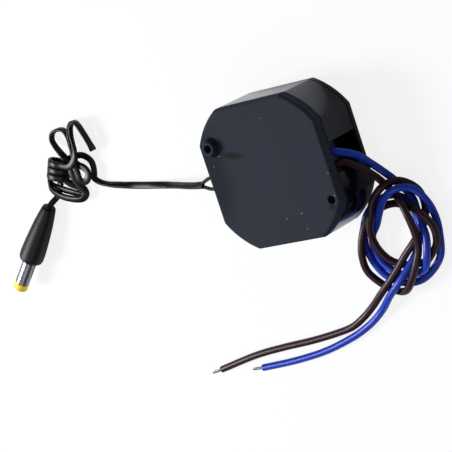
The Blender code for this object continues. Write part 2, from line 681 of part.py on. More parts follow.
def mains_wire(colour, exit_y, route, material):
    """One insulated wire from its pad under the board, out of the pocket and along its route."""
    start = [(WIRE_SOLDER_X, exit_y, WIRE_EXIT_Z),
             (POCKET_FLOOR - WALL, exit_y, WIRE_EXIT_Z),
             (POCKET_FLOOR + WALL, exit_y, WIRE_EXIT_Z)]
    points = smooth_route(start + [Vector(point) * MM for point in route], WIRE_DIAMETER * 1.75)
    wire = tube(f"mains_wire_{colour}", points, WIRE_DIAMETER)
    finish(wire, wire.name, material)
    heading = (points[-1] - points[-2]).normalized()
    heading.z = 0.0
    lift = Vector((0.0, 0.0, TIP_DIAMETER / 2 - points[-1].z))
    near = points[-1] + heading * FIT
    far = near + heading * TIP_LENGTH
    tip = tube(f"{colour}_wire_tip", [near, near.lerp(far, 0.5) + lift / 2, far + lift], TIP_DIAMETER)
    finish(tip, tip.name, TINNED_COPPER)


def output_lead():
    """Two cores out of the left pocket, the twin lead to its loops, and the last stretch to the plug."""
    fork = Vector((-38.0, -1.35, 10.4)) * MM
    half_pair = (CORE_DIAMETER + FIT) / 2
    for name, side in (("dc_leg_positive", 1), ("dc_leg_negative", -1)):
        y = CORE_EXIT_Y + side * CORE_SPREAD / 2
        route = [(CORE_SOLDER_X, y, WIRE_EXIT_Z), (-POCKET_FLOOR, y, WIRE_EXIT_Z),
                 (-0.0260, y, WIRE_EXIT_Z - 0.0006),
                 (-0.0325, y - 0.0004, WIRE_EXIT_Z - 0.0029),
                 (fork.x, fork.y + side * half_pair, fork.z)]
        core = tube(name, smooth_route(route, CORE_DIAMETER * 2), CORE_DIAMETER)
        finish(core, name, LEAD_PLASTIC)

    floor = LEAD_DIAMETER / 2
    across = Vector((math.sin(HANK_TURN), -math.cos(HANK_TURN), 0.0))
    along = Vector((math.cos(HANK_TURN), math.sin(HANK_TURN), 0.0))
    hank_centre = Vector((HANK_X, HANK_Y, floor))
    enter = hank_centre - along * HANK_RUN * 0.45 + across * (HANK_RADIUS + 2 * FIT)
    route = [fork - Vector((FIT, 0.0, 0.0)), Vector((-0.0460, -0.0012, 0.0075)),
             Vector((-0.0550, -0.0006, 0.0040)), Vector((-0.0640, 0.0003, 0.0017)),
             Vector((-0.0740, 0.0017, floor)), Vector((-0.0840, 0.0036, floor)),
             Vector((-0.0910, 0.0055, floor)), enter]
    lead = tube("dc_lead", smooth_route(route, LEAD_DIAMETER * 2), LEAD_DIAMETER)
    finish(lead, "dc_lead", LEAD_PLASTIC)

    hank = slab("dc_lead_bundle", [hank_loop(HANK_RADIUS), hank_loop(HANK_HOLE)], 0.0, HANK_HEIGHT)
    for z in (-HANK_HEIGHT / 2, HANK_HEIGHT / 2):
        round_rim(hank, z, HANK_ROUND, 3)
    hank.location.x, hank.location.y = HANK_X, HANK_Y
    hank.rotation_euler.z = HANK_TURN
    finish(hank, "dc_lead_bundle", LEAD_PLASTIC)

    tail_centre, heading = plug_axis()
    leave = hank_centre - along * (HANK_RUN / 2) + (-along - across * 0.35).normalized() * (
        HANK_RADIUS + 2 * FIT)
    join = tail_centre - heading * FIT
    route = [leave, join - heading * LEAD_DIAMETER * 1.5, join]
    tail = tube("dc_lead_tail", smooth_route(route, LEAD_DIAMETER * 1.5), LEAD_DIAMETER)
    finish(tail, "dc_lead_tail", LEAD_PLASTIC)


def hank_loop(radius):
    """A straight run with round ends, along X."""
    steps = 14
    loop = []
    for side in (1, -1):
        for step in range(steps + 1):
            angle = math.pi * (step / steps - 0.5) + (0.0 if side > 0 else math.pi)
            loop.append((side * HANK_RUN / 2 + radius * math.cos(angle), radius * math.sin(angle)))
    return loop


def plug_axis():
    """The middle of the grip's tail and the way the plug points, for a grip that lies on the floor."""
    heading = Vector((math.cos(PLUG_TURN) * math.cos(PLUG_TILT), math.sin(PLUG_TURN) * math.cos(PLUG_TILT),
                      math.sin(PLUG_TILT)))
    height = max(radius * math.cos(PLUG_TILT) - place * GRIP_LENGTH * math.sin(PLUG_TILT)
                 for place, radius in GRIP_SHAPE)
    return Vector((PLUG_TAIL_X, PLUG_TAIL_Y, height)), heading


def lay_along_plug(obj):
    centre, heading = plug_axis()
    obj.rotation_mode = "QUATERNION"
    obj.rotation_quaternion = heading.to_track_quat("Z", "Y")
    obj.location = centre
    return obj


def plug():
    """The grip, and in its mouth the sleeve, the insulator inside it and the contact inside that."""
    seat = GRIP_LENGTH - BARREL_SEAT
    tip = GRIP_LENGTH + BARREL_LENGTH
    socket = BARREL_RADIUS + FIT
    outside = [(radius, place * GRIP_LENGTH) for place, radius in reversed(GRIP_SHAPE)]
    profile = [(0.0, seat), (socket, seat), (socket, GRIP_LENGTH), *outside, (0.0, 0.0)]
    grip = lay_along_plug(turned("plug_body", profile, 44))
    finish(grip, "plug_body", GRIP_PLASTIC, math.radians(50))

    inner = BARREL_RADIUS - BARREL_WALL
    low, high = seat + FIT, tip - TIP_COLLAR - FIT
    profile = [(inner, high), (BARREL_RADIUS, high), (BARREL_RADIUS, low), (inner, low)]
    sleeve = lay_along_plug(turned("plug_sleeve", profile, 36, closed=True))
    finish(sleeve, "plug_sleeve", NICKEL_PLATE)

    outer, bore = inner - FIT, CONTACT_RADIUS + FIT
    edge = 0.0003
    profile = [(CONTACT_HOLE, tip), (BARREL_RADIUS - edge, tip), (BARREL_RADIUS, tip - edge),
               (BARREL_RADIUS, tip - TIP_COLLAR), (outer, tip - TIP_COLLAR), (outer, low), (bore, low),
               (bore, tip - TIP_COLLAR / 2), (CONTACT_HOLE, tip - TIP_COLLAR / 2)]
    insulator = lay_along_plug(turned("plug_insulator", profile, 36, closed=True))
    finish(insulator, "plug_insulator", YELLOW_PLASTIC)

    high = tip - TIP_COLLAR / 2 - FIT
    profile = [(CONTACT_BORE, high), (CONTACT_RADIUS, high), (CONTACT_RADIUS, low), (CONTACT_BORE, low)]
    contact = lay_along_plug(turned("plug_contact", profile, 28, closed=True))
    finish(contact, "plug_contact", NICKEL_PLATE)


clear_scene()
PARTS = new_collection("Power supply")
CUTTERS = new_collection("Cutters")

FACE_PLASTIC = make_material("textured face plastic", (0.040, 0.048, 0.060), 0.65)
GLOSS_PLASTIC = make_material("gloss black plastic", (0.012, 0.013, 0.015), 0.20)
BOARD_LAMINATE = make_material("green board laminate", (0.05, 0.16, 0.07), 0.45)
FERRITE = make_material("ferrite", (0.035, 0.035, 0.038), 0.70)
BOBBIN_PLASTIC = make_material("bobbin plastic", (0.02, 0.02, 0.02), 0.55)
WINDING_TAPE = make_material("yellow winding tape", (0.75, 0.60, 0.10), 0.40)
BLACK_MOULDING = make_material("black moulding compound", (0.025, 0.025, 0.027), 0.60)
SLEEVE_PLASTIC = make_material("capacitor sleeve", (0.02, 0.03, 0.09), 0.35)
FILM_PLASTIC = make_material("film capacitor case", (0.75, 0.60, 0.12), 0.45)
BLUE_LACQUER = make_material("blue lacquer", (0.04, 0.14, 0.42), 0.40)
FUSE_LACQUER = make_material("green fuse lacquer", (0.10, 0.28, 0.16), 0.50)
BLUE_INSULATION = make_material("blue insulation", (0.015, 0.045, 0.42), 0.35)
BROWN_INSULATION = make_material("brown insulation", (0.045, 0.018, 0.016), 0.35)
TINNED_COPPER = make_material("tinned copper", (0.60, 0.60, 0.58), 0.35, 1.0)
LEAD_PLASTIC = make_material("black lead plastic", (0.012, 0.012, 0.013), 0.40)
GRIP_PLASTIC = make_material("soft black grip", (0.015, 0.015, 0.016), 0.50)
NICKEL_PLATE = make_material("nickel plate", (0.75, 0.75, 0.76), 0.12, 1.0)
YELLOW_PLASTIC = make_material("yellow plastic", (0.76, 0.58, 0.06), 0.35)

front_cover()
housing_body()
back_cover()
circuit_board()
board_parts()
transformer()
mains_wire("brown", BROWN_EXIT_Y, BROWN_ROUTE, BROWN_INSULATION)
mains_wire("blue", BLUE_EXIT_Y, BLUE_ROUTE, BLUE_INSULATION)
output_lead()
plug()

if __name__ == "__main__":
    for sub_part in sorted(PARTS.objects, key=lambda item: item.name):
        print(sub_part.name)
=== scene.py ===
import math

import bmesh
import bpy
from mathutils import Matrix, Vector


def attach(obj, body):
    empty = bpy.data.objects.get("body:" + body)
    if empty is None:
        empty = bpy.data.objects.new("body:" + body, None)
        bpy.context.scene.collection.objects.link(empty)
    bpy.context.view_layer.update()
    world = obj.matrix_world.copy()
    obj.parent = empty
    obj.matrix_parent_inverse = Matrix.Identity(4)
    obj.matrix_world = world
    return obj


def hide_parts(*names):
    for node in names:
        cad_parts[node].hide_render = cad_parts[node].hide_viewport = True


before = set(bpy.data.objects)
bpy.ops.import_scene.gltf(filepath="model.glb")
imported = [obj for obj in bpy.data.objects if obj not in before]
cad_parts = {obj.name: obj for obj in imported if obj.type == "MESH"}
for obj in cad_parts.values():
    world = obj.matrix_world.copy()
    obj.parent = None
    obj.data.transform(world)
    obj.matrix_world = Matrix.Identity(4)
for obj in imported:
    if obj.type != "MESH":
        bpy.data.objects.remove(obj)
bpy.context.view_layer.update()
mm = 0.001
print("frame loaded,", len(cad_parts), "nodes")


def deselectAll():
    if bpy.context.object and bpy.context.object.mode != "OBJECT":
        bpy.ops.object.mode_set(mode="OBJECT")
    bpy.ops.object.select_all(action="DESELECT")


def pick(obj):
    deselectAll()
    obj.select_set(True)
    bpy.context.view_layer.objects.active = obj
    return obj


def bakePlace(obj):
    # the piece's place goes into its mesh, so its object stays at the origin
    pick(obj)
    bpy.ops.object.transform_apply(location=True, rotation=True, scale=True)
    return obj


def applyModifiers(obj):
    pick(obj)
    for modifier in list(obj.modifiers):
        bpy.ops.object.modifier_apply(modifier=modifier.name)
    return obj


def cutWith(obj, tool, operation="DIFFERENCE"):
    boolean = obj.modifiers.new("cut", "BOOLEAN")
    boolean.operation = operation
    boolean.object = tool
    boolean.solver = "EXACT"
    applyModifiers(obj)
    bpy.data.objects.remove(tool, do_unlink=True)
    return obj


def selectEdges(obj, wanted):
    # edges are chosen by their own place; leaves the piece in edit mode
    pick(obj)
    bpy.ops.object.mode_set(mode="EDIT")
    bpy.ops.mesh.select_mode(type="EDGE")
    bpy.ops.mesh.select_all(action="DESELECT")
    bm = bmesh.from_edit_mesh(obj.data)
    for edge in bm.edges:
        if len(edge.link_faces) == 2 and wanted(edge):
            edge.select = True
    bmesh.update_edit_mesh(obj.data)


def smooth(obj, degrees=35):
    pick(obj)
    bpy.ops.object.shade_smooth_by_angle(angle=math.radians(degrees))
    return obj


def box(name, low, high):
    # a block between two corners in mm
    deselectAll()
    bpy.ops.mesh.primitive_cube_add(size=mm, location=[(a + b) / 2 * mm for a, b in zip(low, high)],
                                    scale=[b - a for a, b in zip(low, high)])
    obj = bpy.context.object
    obj.name = name
    return bakePlace(obj)


def rod(name, radius, x, y, low, high, sides=64):
    deselectAll()
    bpy.ops.mesh.primitive_cylinder_add(vertices=sides, radius=radius * mm, depth=(high - low) * mm,
                                        location=(x * mm, y * mm, (low + high) / 2 * mm))
    obj = bpy.context.object
    obj.name = name
    return bakePlace(obj)


def lathe(name, stations, sides):
    # a disc is drawn up station by station (height, radius), each ring scaled to its radius
    deselectAll()
    height, radius = stations[0]
    bpy.ops.mesh.primitive_circle_add(vertices=sides, radius=radius * mm, fill_type="NGON",
                                      location=(0, 0, height * mm))
    obj = bpy.context.object
    obj.name = name
    bakePlace(obj)
    bpy.ops.object.mode_set(mode="EDIT")
    bpy.ops.mesh.select_all(action="SELECT")
    for nextHeight, nextRadius in stations[1:]:
        rise = (nextHeight - height) * mm
        bpy.ops.mesh.extrude_region_move(TRANSFORM_OT_translate={"value": (0, 0, rise)})
        grow = nextRadius / radius
        bpy.ops.transform.resize(value=(grow, grow, 1), center_override=(0, 0, nextHeight * mm))
        height, radius = nextHeight, nextRadius
    bpy.ops.mesh.select_all(action="SELECT")
    bpy.ops.mesh.normals_make_consistent(inside=False)
    bpy.ops.object.mode_set(mode="OBJECT")
    return obj


def hexToLinear(code):
    parts = [int(code[i:i + 2], 16) / 255 for i in (1, 3, 5)]
    return (*[p / 12.92 if p <= 0.04045 else ((p + 0.055) / 1.055) ** 2.4 for p in parts], 1)


def newMaterial(name):
    material = bpy.data.materials.new(name)
    material.use_nodes = True
    return material, material.node_tree, material.node_tree.nodes["Principled BSDF"]


def addNode(tree, kind, settings=None, values=None, links=None):
    # settings are the node's own, values go to its inputs and links come from other nodes' outputs
    node = tree.nodes.new(kind)
    for key, value in (settings or {}).items():
        setattr(node, key, value)
    for key, value in (values or {}).items():
        node.inputs[key].default_value = value
    for key, source in (links or {}).items():
        tree.links.new(source, node.inputs[key])
    return node


def dress(name, material):
    obj = bpy.data.objects[name]
    obj.data.materials.clear()
    obj.data.materials.append(material)


def mount(piece, material, slot, *nodes):
    # a finished piece rides on the case and stands for its solids
    piece.data.materials.clear()
    piece.data.materials.append(material)
    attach(piece, "root")
    if nodes:
        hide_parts(*nodes)
    return piece


view = {
    "place": (407.67, 92.62, 541.46),          # mm from the middle of the case's back
    "right": (0.76085, -0.31282, -0.56856),
    "up": (0.14818, 0.93675, -0.3171),
    "sensor": 36,
    "lens": 36 * 2000 / 452,                   # a long lens: 2000 pixels where the picture is 452 wide
}

right, up = Vector(view["right"]).normalized(), Vector(view["up"])
up = (up - right * up.dot(right)).normalized()
turn = Matrix((right, up, right.cross(up))).transposed().to_4x4()
cameraData = bpy.data.cameras.new("camera")
cameraData.lens = view["lens"]
cameraData.sensor_width = view["sensor"]
cameraData.clip_start = 0.01
cameraData.clip_end = 20
camera = bpy.data.objects.new("camera", cameraData)
camera.matrix_world = Matrix.Translation(Vector(view["place"]) * mm) @ turn
bpy.context.scene.collection.objects.link(camera)
bpy.context.scene.camera = camera
print("camera set")


def alongRoute(route, spacing):
    # points about evenly spaced on one smooth curve through the route's points, in metres
    points = [Vector(p) * mm for p in route]
    guides = [points[0] * 2 - points[1], *points, points[-1] * 2 - points[-2]]
    fine = []
    for a, b, c, d in zip(guides, guides[1:], guides[2:], guides[3:]):
        steps = max(2, math.ceil((c - b).length / (spacing / 4)))
        for step in range(steps):
            t = step / steps
            fine.append(0.5 * (2 * b + (c - a) * t + (2 * a - 5 * b + 4 * c - d) * t ** 2
                               + (3 * b - a - 3 * c + d) * t ** 3))
    fine.append(points[-1])
    gone = [0]
    for a, b in zip(fine, fine[1:]):
        gone.append(gone[-1] + (b - a).length)
    count = max(1, round(gone[-1] / spacing))
    even, place = [], 0
    for step in range(count + 1):
        goal = gone[-1] * step / count
        while place < len(fine) - 2 and gone[place + 1] < goal:
            place += 1
        share = (goal - gone[place]) / (gone[place + 1] - gone[place])
        even.append(fine[place].lerp(fine[place + 1], share))
    return even, gone[-1]


def roundCord(name, points, diameter, sides=5):
    curve = bpy.data.curves.new(name, "CURVE")
    curve.dimensions = "3D"
    curve.bevel_depth = diameter / 2
    curve.bevel_resolution = sides
    curve.use_fill_caps = True
    spline = curve.splines.new("POLY")
    spline.points.add(len(points) - 1)
    for point, place in zip(spline.points, points):
        point.co = (*place, 1)
    spline.use_smooth = True
    obj = bpy.data.objects.new(name, curve)
    bpy.context.scene.collection.objects.link(obj)
    return obj


mains = {
    "diameter": 2.6,
    "spacing": 1.2,
    "start": (13.5, 18.4, 21.6),               # from the board to the pocket, where both wires run straight
    "exitZ": 15.8,
    "hole": 1.6,
    # the bare end: how far its strands start inside the insulation, and their pinch at the end
    "tip": {"diameter": 1.1, "length": 5.5, "pitch": 7, "strands": 7, "steps": 24, "sunk": 0.7, "pinch": 0.25},
    "brown": {
        "exitY": -3.4,
        "route": [
            (25, -3, 13.5), (28, -7.5, 9), (30, -12.5, 5), (33.5, -18, 4.5), (38, -21, 8.5), (40, -25.5, 10),
            (40, -31.5, 9), (38.5, -37.5, 7.5), (35.5, -43, 7.5), (31.5, -48, 6.5), (26.5, -52, 4.5),
            (20.5, -52, 2), (15.5, -49, 1.5), (12.5, -43.5, 3), (13.5, -37, 4.5), (16, -31, 4.5),
            (19.5, -26, 4), (25, -23, 3), (31.5, -22, 3.5), (38, -23, 6), (43, -25.5, 7.5), (45.5, -31, 6),
            (44.5, -37, 5), (40, -41.5, 4), (35, -44, 1.5), (28, -44, 1.5), (22.5, -41.5, 2),
            (20, -36.5, 3.5), (20.5, -30.5, 5.5), (23.5, -25, 7.5), (27, -19, 8), (32, -15, 7.5), (37, -14.5, 4.5),
            (41.5, -19, 2), (42, -25.5, 1.5), (40, -31.5, 3.5), (35.5, -36, 5), (30.5, -40, 5),
            (25.5, -44.5, 5), (20.5, -48.5, 5), (15, -52.5, 4), (10, -56, 2.5), (4.5, -59.5, 1.5),
            (-1.5, -62.5, 1.5), (-8.5, -64, 1.5), (-20.5, -65.5, 1.5), (-34, -66.5, 1.5), (-47.5, -68, 1.5),
            (-65, -71.5, 1.5),
        ],
    },
    "blue": {
        "exitY": 2.0,
        "route": [
            (25, 0.5, 13.5), (28, -2.5, 9.5), (29, -6.5, 5.5), (31.5, -11.5, 2.5), (35.5, -16.5, 2),
            (39, -22, 2.5), (41, -28, 5.5), (42.5, -34, 7), (41, -40, 7.5), (37.5, -45, 5.5), (32, -47, 3),
            (25.5, -47, 2), (20, -43.5, 1.5), (17.5, -38.5, 1.5), (18, -32.5, 2), (22.5, -28, 3.5),
            (26.5, -24, 6), (31, -19.5, 8), (36.5, -16.5, 8.5), (41.5, -17.5, 5.5), (44.5, -23, 3.5),
            (45, -29.5, 2), (44, -36, 1.5), (42, -42.5, 1.5), (37.5, -47, 1.5), (31.5, -50, 1.5),
            (25, -50, 1.5), (19, -47, 1.5), (15.5, -42, 1.5), (14, -35.5, 1.5), (15.5, -29, 1.5),
            (19, -24, 1.5), (24.5, -20.5, 1.5), (31, -19.5, 1.5), (36, -22.5, 1.5), (37.5, -28, 1.5),
            (36.5, -34.5, 1.5), (34, -40, 3), (29.5, -45, 5), (25, -49, 6), (19.5, -53, 5), (14.5, -57, 3),
            (9.5, -60.5, 2), (4, -63.5, 1.5), (-3.5, -66.5, 1.5), (-16.5, -70, 1.5), (-31, -72, 1.5),
            (-46, -73, 1.5),
        ],
    },
}


def strandedTip(colour, points):
    # one strand with six twisted round it, from just inside the insulation down to the floor
    facts = mains["tip"]
    upwards = Vector((0, 0, 1))
    heading = points[-1] - points[-2]
    heading.z = 0
    heading.normalize()
    across = heading.cross(upwards)
    thread = facts["diameter"] / 3
    strands = []
    for number in range(facts["strands"]):
        line = []
        for step in range(facts["steps"] + 1):
            gone = (facts["length"] + 1) * step / facts["steps"]
            out = thread if number else 0
            out *= 1 - facts["pinch"] * max(0, gone - facts["length"] + 0.5)
            angle = math.radians(60 * number) + 2 * math.pi * gone / facts["pitch"]
            middle = points[-1] + heading * (gone - facts["sunk"]) * mm
            drop = min(1, max(0, (gone - facts["sunk"]) / facts["length"]))
            middle.z += (facts["diameter"] / 2 * mm - middle.z) * drop
            line.append(middle + (across * math.cos(angle) + upwards * math.sin(angle)) * out * mm)
        strands.append(roundCord(f"{colour}Strand", line, thread * 1.04 * mm, 2))
    deselectAll()
    for strand in strands:
        strand.select_set(True)
    bpy.context.view_layer.objects.active = strands[0]
    bpy.ops.object.convert(target="MESH")
    bpy.ops.object.join()
    tip = bpy.context.object
    tip.name = f"{colour}WireTip"
    return smooth(tip, 60)


def mainsWire(colour):
    facts = mains[colour]
    start = [(x, facts["exitY"], mains["exitZ"]) for x in mains["start"]]
    points, length = alongRoute(start + facts["route"], mains["spacing"] * mm)
    wire = roundCord(f"{colour}Wire", points, mains["diameter"] * mm)
    tip = strandedTip(colour, points)
    print(colour, "wire", round(length, 3), "m")
    return wire, tip


lead = {
    "width": 2.7,
    "thick": 1.35,
    "spacing": 0.9,
    "groove": 70,                              # degrees of each core's round, to the groove between them
    "evenings": 6,                             # how often the flat's turn is averaged along the lead
    # its two cores, from the board to the fork where they join
    "coreExits": (1.4, -2.6), "coreHole": 0.975, "coresApart": 1.65, "coreSpacing": 0.8,
    "fork": (-38, -1.35, 10.4),
    # mm; the fourth number leans the flat from lying (0) to standing on edge (90)
    "toBundle": [
        (-38.3, -1.35, 10.4, 20), (-46, -1.2, 7.5, 40), (-55, -0.6, 4, 50), (-64, 0.3, 1.7, 30),
        (-74, 1.7, 1, 15), (-84, 3.6, 1.1, 50), (-91, 5.5, 1.3, 80),
    ],
    "loops": [
        (-94.5, 7.9, 1.4, 80), (-93.9, 9.9, 1.4, 90), (-93.3, 12.1, 1.4, 90), (-93.3, 14.3, 1.4, 90),
        (-94.5, 16.2, 1.5, 80), (-96.5, 17.6, 1.7, 60), (-99.3, 18, 2, 30), (-102.6, 17.5, 2.2, 10),
        (-106.3, 16.2, 2.2, 0), (-110.2, 14.2, 2, 0), (-113.8, 12.3, 1.7, 20), (-116.3, 10.8, 1.5, 60),
        (-115.6, 8.8, 1.2, 25), (-112.4, 6.8, 1.1, 10), (-108.2, 5, 1.1, 10), (-104.8, 3.6, 1.2, 25),
        (-102.2, 3, 1.3, 40), (-101.6, 4.6, 1.4, 40), (-104, 6.6, 1.6, 20), (-106.5, 8.4, 2.2, 20),
        (-109, 11.4, 2.8, 10), (-111.6, 13.3, 3, 20), (-114.6, 13, 2.6, 60), (-116, 11, 2.4, 70),
        (-116.2, 7.9, 2.6, 20), (-112.8, 4.6, 2.5, 10), (-108, 2.6, 2.5, 10), (-103.2, 1.7, 2.6, 20),
        (-100.3, 2.9, 2.7, 40), (-99.9, 4.9, 2.8, 30), (-101.2, 7.1, 3.2, 10), (-102, 9.2, 3.6, 10),
        (-102.3, 11.8, 4, 0), (-102.2, 14.7, 4.2, 0), (-102.2, 17, 4.2, 20), (-103.4, 19, 4, 50),
        (-105, 20.9, 3.4, 80),
        (-107.3, 23.5, 2.4, 90), (-108.4, 25.9, 1.8, 90), (-107.3, 28.2, 1.5, 90), (-104.4, 29, 1.4, 90),
        (-101.8, 28.4, 1.4, 90), (-100.5, 26.6, 1.6, 90), (-99.9, 24, 2, 85), (-99.6, 21.5, 2.8, 70),
        (-99.6, 19.1, 3.4, 40), (-99.2, 16.6, 3.8, 10), (-97.7, 14.7, 4, 0), (-95.4, 13.2, 4, 0),
        (-94.3, 11.1, 4, 0), (-95.5, 8.8, 4, 0), (-97.6, 8, 4.2, 0), (-98.9, 9.3, 4.6, 0),
        (-98.7, 11.8, 4.9, 0), (-98.5, 14.6, 5.1, 10), (-97.9, 17.6, 4.8, 30), (-97.7, 20.6, 4, 60),
        (-98, 23.7, 3.2, 70), (-98, 26.7, 2.6, 80), (-97.3, 29.1, 2.2, 85), (-96.1, 30.4, 1.9, 90),
        (-94.6, 30.2, 1.7, 90), (-93.6, 28.3, 1.5, 90), (-92.7, 25.5, 1.4, 90), (-91.7, 22.6, 1.4, 90),
        (-91, 20.2, 1.5, 90), (-90, 18.9, 2.2, 90), (-89.2, 20.3, 3.4, 90), (-89.4, 22.8, 3.9, 90),
        (-90.1, 25.7, 4.1, 90), (-90.9, 28.5, 4.3, 90), (-91.8, 30.2, 4.4, 90), (-93.4, 30.3, 4.5, 85),
        (-94.6, 29, 4.8, 80), (-95.2, 26.3, 5.2, 70), (-95.2, 23.3, 5.8, 50), (-95.6, 20.2, 6.2, 20),
        (-97.2, 17, 6.4, 0), (-100.5, 15.2, 6.2, 0),
    ],
    # wound round the loops' waist
    "wrapTurns": 3,
    "wrapFrom": (-106.6, 17.4, 3.7),
    "wrapTo": (-110, 11.4, 3.7),
    "wrapWide": 4.2,
    "wrapHigh": 2.95,
    "toPlug": [
        (-113.4, 8, 0.8, 0), (-114.8, 5.4, 0.9, 20), (-116.4, 4, 1.4, 30), (-118, 2.9, 2.6, 20),
        (-119.2, 1.9, 3.3, 0),
    ],
}


def leadRoute():
    # the whole route with, at each point, the way its flat faces
    def listed(rows):
        return [((x, y, z), ("lean", lean)) for x, y, z, lean in rows]

    rows = listed(lead["toBundle"]) + listed(lead["loops"])
    begin, end = Vector(lead["wrapFrom"]), Vector(lead["wrapTo"])
    axis = (end - begin).normalized()
    across = axis.cross(Vector((0, 0, 1))).normalized()
    steps = 12 * lead["wrapTurns"]
    for step in range(steps + 1):
        angle = math.radians(60 + (210 + 360 * (lead["wrapTurns"] - 1)) * step / steps)
        outward = -across * math.cos(angle) * lead["wrapWide"]
        outward.z += math.sin(angle) * lead["wrapHigh"]
        rows.append((begin.lerp(end, step / steps) + outward, ("face", outward.normalized())))
    return rows + listed(lead["toPlug"])


def flatLead():
    rows = leadRoute()
    points, length = alongRoute([place for place, facing in rows], lead["spacing"] * mm)
    knots = [Vector(place) * mm for place, facing in rows]
    tangents = [(b - a).normalized() for a, b in zip(points[:1] + points[:-1], points[1:] + points[-1:])]
    # each point takes its facing from the route's points on its two sides
    owner, faces = 0, []
    for place, along in zip(points, tangents):
        while owner < len(knots) - 2 and (place - knots[owner + 1]).length < (place - knots[owner]).length:
            owner += 1
        kind, value = rows[owner][1]
        if kind == "lean":
            side = along.cross(Vector((0, 0, 1))).normalized()
            value = Vector((0, 0, 1)) * math.cos(math.radians(value)) + side * math.sin(math.radians(value))
        faces.append(value)
    for turn in range(lead["evenings"]):
        before, after = faces[:1] + faces[:-1], faces[1:] + faces[-1:]
        faces = [(a + b * 2 + c).normalized() for a, b, c in zip(before, faces, after)]
    core = lead["thick"] / 2 * mm
    shift = (lead["width"] - lead["thick"]) / 2 * mm
    section = []                               # two round cores that meet in a shallow groove
    for side, start in ((1, -lead["groove"]), (-1, 180 - lead["groove"])):
        for step in range(9):
            angle = math.radians(start + 2 * lead["groove"] * step / 8)
            section.append((side * shift + core * math.cos(angle), core * math.sin(angle)))
    bm = bmesh.new()
    rings = []
    for place, along, face in zip(points, tangents, faces):
        wide = along.cross(face).normalized()
        thin = wide.cross(along).normalized()
        rings.append([bm.verts.new(place + wide * u + thin * v) for u, v in section])
    for a, b in zip(rings, rings[1:]):
        for k in range(len(section)):
            bm.faces.new((a[k], a[k - 1], b[k - 1], b[k]))
    bm.faces.new(rings[0])
    bm.faces.new(reversed(rings[-1]))
    bmesh.ops.recalc_face_normals(bm, faces=bm.faces)
    mesh = bpy.data.meshes.new("flatLead")
    bm.to_mesh(mesh)
    bm.free()
    obj = bpy.data.objects.new("flatLead", mesh)
    bpy.context.scene.collection.objects.link(obj)
    smooth(obj, 60)
    print("lead", round(length, 3), "m")
    return obj


case = {
    "across": 50, "cornerReach": 3.6, "depth": 22.4, "wall": 1.6, "arcSides": 384,
    "frontSeam": 18.8, "backSeam": 2.4, "plate": 1.8, "clearance": 0.3, "join": 0.4,
    "frontRim": 1.2, "backRim": 0.6, "seamEdge": 0.25,
    "lipInset": 1.9, "lipThick": 1.0, "lipReach": 1.2,
    "mainsPocket": 10.5, "outputPocket": 9.5, "pocketDepth": 5,
    "collarHole": (-19.6, 12.8), "plainHole": (21.7, -12.9), "holeRadius": 1.4, "pillar": 2.7, "web": 2,
    "collarHeight": 2.2, "collarTop": 2.4, "collarBase": 3.3, "collarFillet": 0.6, "collarEdge": 0.35,
    "holeEdge": 0.25, "pocketEdge": 0.3,
}
holes = (case["collarHole"], case["plainHole"])


def weld(obj, distance):
    pick(obj)
    bpy.ops.object.mode_set(mode="EDIT")
    bpy.ops.mesh.select_all(action="SELECT")
    bpy.ops.mesh.remove_doubles(threshold=distance * mm)
    bpy.ops.object.mode_set(mode="OBJECT")


def caseBlock(name, inset, low, high, pockets):
    # the square with its corners cut by a circle; with pockets it is cut at the middle of two flats
    half = case["across"] / 2 - inset
    block = box(name, (-half, -half, low), (half, half, high))
    cutWith(block, rod("corners", half + case["cornerReach"], 0, 0, low - 1, high + 1, case["arcSides"]),
            "INTERSECT")
    weld(block, 0.05)
    if pockets:
        floorX = case["across"] / 2 - case["pocketDepth"] - inset
        for side, width in ((1, case["mainsPocket"]), (-1, case["outputPocket"])):
            reach = width / 2 + inset
            xs = sorted((side * floorX, side * (half + 2)))
            cutWith(block, box("pocket", (xs[0], -reach, low - 1), (xs[1], reach, high + 1)))
    return block


def roundEdges(obj, radius, segments, wanted):
    selectEdges(obj, wanted)
    bpy.ops.mesh.bevel(offset=radius * mm, segments=segments, profile=0.5, affect="EDGES")
    bpy.ops.object.mode_set(mode="OBJECT")


def rimAt(z):
    return lambda edge: (all(abs(v.co.z - z * mm) < 1e-6 for v in edge.verts)
                         and edge.calc_face_angle(0) > math.radians(60))


def evenShade(obj, degrees=35):
    # the flat faces keep their own normals beside the rounded edges
    smooth(obj, degrees)
    weighted = obj.modifiers.new("even shade", "WEIGHTED_NORMAL")
    weighted.keep_sharp = True
    weighted.weight = 100
    return applyModifiers(obj)


def addLip(cover, low, high, hollowLow, hollowHigh):
    inset = case["lipInset"]
    lip = caseBlock("lip", inset, low, high, True)
    for x, y in holes:
        cutWith(lip, rod("notch", case["pillar"] + case["clearance"], x, y, low - 1, high + 1))
    cutWith(cover, lip, "UNION")
    cutWith(cover, caseBlock("hollow", inset + case["lipThick"], hollowLow, hollowHigh, True))


def drill(obj, low, high):
    for x, y in holes:
        cutWith(obj, rod("drill", case["holeRadius"], x, y, low, high))


